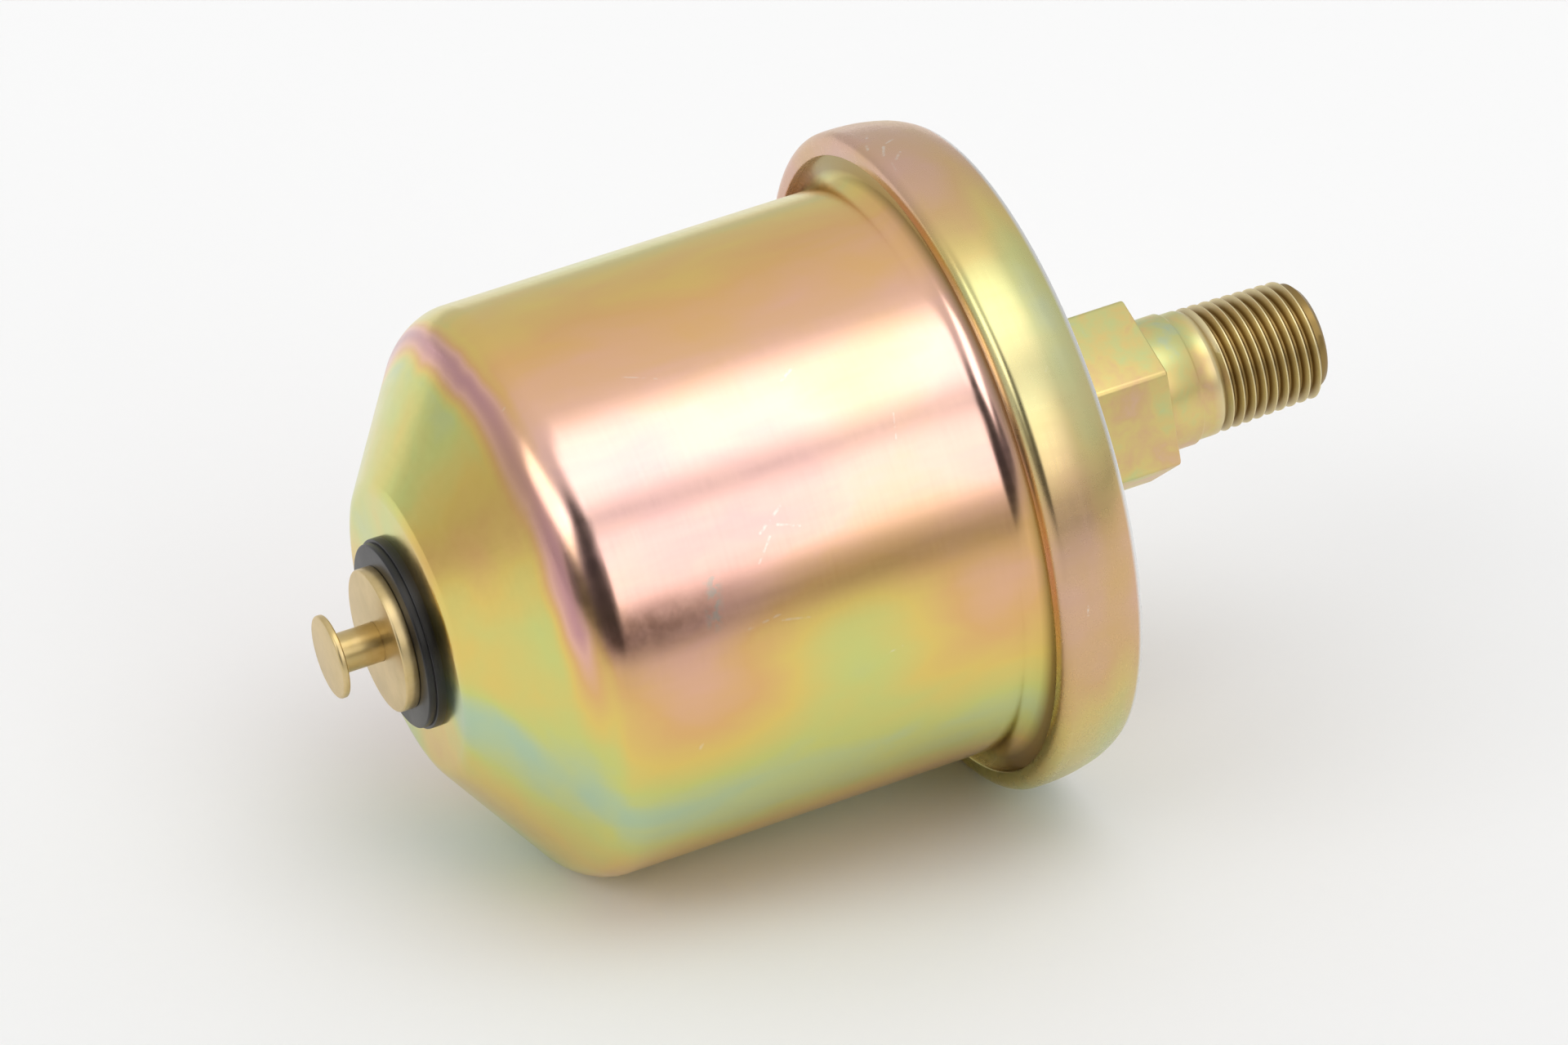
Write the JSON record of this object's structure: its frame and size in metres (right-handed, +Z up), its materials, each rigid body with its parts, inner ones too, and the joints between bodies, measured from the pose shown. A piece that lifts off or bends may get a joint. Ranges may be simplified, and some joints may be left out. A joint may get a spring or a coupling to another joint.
{
  "type": "oil pressure sender",
  "caption": "Round screw-in oil pressure sender with a tapered thread, hexagon, rolled rim, coned can and nail-head terminal, with its diaphragm, lever and resistor inside.",
  "frame": {"origin": "on the part's axis, where the plain shank ends and the tapered thread starts", "axes": "+X along the thread, pointing out of its tip; -X towards the terminal; +Z up as the sender lies in the picture"},
  "size_m": [0.086, 0.0552, 0.0552],
  "materials": {
    "plated_steel": "yellow chromate over zinc, half gloss, with a faint rainbow",
    "brass": "bare brass, half gloss",
    "black_moulding": "moulded black plastic, satin",
    "brown_laminate": "resin laminate, dull",
    "fibre": "pressed fibre, dull",
    "rubber": "black rubber, dull",
    "bare_steel": "bright steel, half gloss",
    "bronze": "spring bronze, half gloss",
    "silver": "silver contact, bright",
    "resistance_wire": "fine wound wire, half gloss"
  },
  "bodies": {
    "root": {"fitting": "plated_steel", "restrictor": "brass", "base_shell": "plated_steel", "seal_ring": "rubber", "diaphragm": "bronze", "support_plate": "bare_steel", "flange_gasket": "fibre", "can": "plated_steel", "outer_insulator": "black_moulding", "terminal_collar": "brass", "terminal_stud": "brass", "inner_insulator": "fibre", "inner_washer": "brass", "lead_strip": "brass", "bracket": "bare_steel", "bracket_rivets": "bare_steel", "pivot_pin": "bare_steel", "return_spring": "bare_steel", "resistor_card": "brown_laminate", "resistor_winding": "resistance_wire", "card_holder": "brown_laminate", "holder_rivets": "brass"},
    "plunger": {"push_pin": "bare_steel", "thrust_pad": "bare_steel"},
    "rocker": {"lever": "bare_steel", "adjusting_screw": "bare_steel", "wiper_arm": "bronze", "wiper_contact": "silver"}
  },
  "joints": [
    {"name": "plunger_slide", "type": "slide", "parent": "root", "child": "plunger", "axis": [-1, 0, 0], "range_m": [0, 0.0012], "stiffness_N_per_m": 400, "deforming": ["diaphragm"]},
    {"name": "lever_pivot", "type": "hinge", "parent": "root", "child": "rocker", "pos_m": [-0.0322, -0.003, 0], "axis": [0, 0, 1], "range_deg": [0, 22.92], "deforming": ["return_spring"]}
  ],
  "couplings": [
    {"joint": "lever_pivot", "follows": "plunger_slide", "rad_per_m": 333.33}
  ]
}
